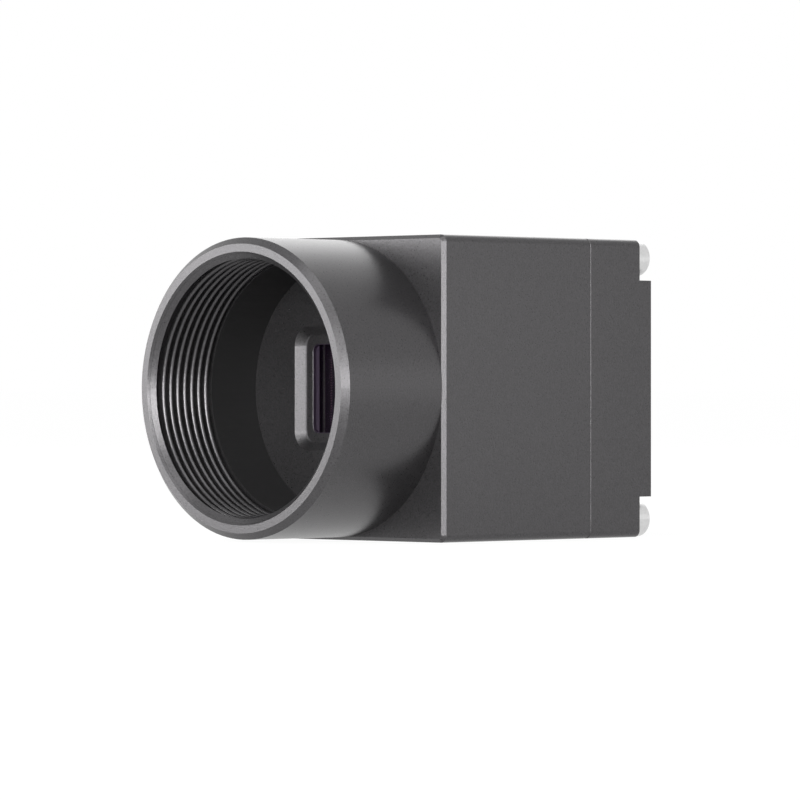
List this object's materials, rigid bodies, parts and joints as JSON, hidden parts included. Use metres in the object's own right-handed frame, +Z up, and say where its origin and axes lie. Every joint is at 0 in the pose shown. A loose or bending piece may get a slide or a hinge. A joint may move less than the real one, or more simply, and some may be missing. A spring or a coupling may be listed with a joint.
{
  "type": "machine vision camera",
  "caption": "Small square metal camera for machines: a round threaded lens mount in front, and sockets for data and for power and trigger at the rear.",
  "frame": {"origin": "centre of the lens mount's flange face, on the optical axis", "axes": "-Y out of the lens mount along the optical axis, +Y towards the connectors at the rear, +X to the right seen from the front, +Z up"},
  "size_m": [0.029, 0.0454, 0.029],
  "materials": {
    "housing": "fine sand-blasted, black anodised",
    "case_steel": "nickel plated",
    "stack_steel": "zinc plated",
    "spacer_brass": "nickel plated brass",
    "filter": "coated, polished",
    "clear_glass": "coated, polished",
    "light_pipe": "clear moulded plastic",
    "seal": "matt silicone",
    "thermal": "soft, matt",
    "silicon": "polished, with a faint colour play",
    "ceramic": "unglazed ceramic",
    "circuit_board": "satin solder mask",
    "plain_aluminium": "mill finish",
    "socket_steel": "tin plated",
    "socket_metal": "satin nickel plated",
    "contact_gold": "gold plated",
    "socket_plastic": "glass-filled, matt",
    "link_plastic": "moulded, matt",
    "capacitor": "ceramic",
    "inductor": "pressed iron powder",
    "light_source": "clear resin",
    "oscillator_can": "drawn can",
    "chip_plastic": "moulded epoxy"
  },
  "bodies": {
    "root": {"case_screws": "case_steel", "dust_seal": "seal", "filter_glass": "filter", "flash_chip": "chip_plastic", "front_housing": "housing", "front_spacer_1": "spacer_brass", "front_spacer_2": "spacer_brass", "front_spacer_3": "spacer_brass", "front_spacer_4": "spacer_brass", "heat_spreader": "plain_aluminium", "interface_board": "circuit_board", "interface_capacitors": "capacitor", "interface_link_plug": "link_plastic", "interface_link_socket": "link_plastic", "io_insert": "socket_plastic", "io_isolator": "chip_plastic", "io_nut": "socket_metal", "io_pins": "contact_gold", "io_shell": "socket_metal", "memory_chip_1": "chip_plastic", "memory_chip_2": "chip_plastic", "oscillator": "oscillator_can", "power_inductor_1": "inductor", "power_inductor_2": "inductor", "power_inductor_3": "inductor", "power_regulator_1": "chip_plastic", "power_regulator_2": "chip_plastic", "processor_board": "circuit_board", "processor_capacitors": "capacitor", "processor_chip": "chip_plastic", "rear_housing": "housing", "rear_spacer_1": "spacer_brass", "rear_spacer_2": "spacer_brass", "rear_spacer_3": "spacer_brass", "rear_spacer_4": "spacer_brass", "sensor_board": "circuit_board", "sensor_capacitors": "capacitor", "sensor_die": "silicon", "sensor_lid": "clear_glass", "sensor_link_plug": "link_plastic", "sensor_link_socket": "link_plastic", "sensor_package": "ceramic", "stack_screws": "stack_steel", "status_led": "light_source", "status_light_pipe": "light_pipe", "thermal_pad": "thermal", "usb_contacts": "contact_gold", "usb_controller": "chip_plastic", "usb_insert_main": "socket_plastic", "usb_insert_side": "socket_plastic", "usb_shell": "socket_steel"}
  },
  "joints": []
}
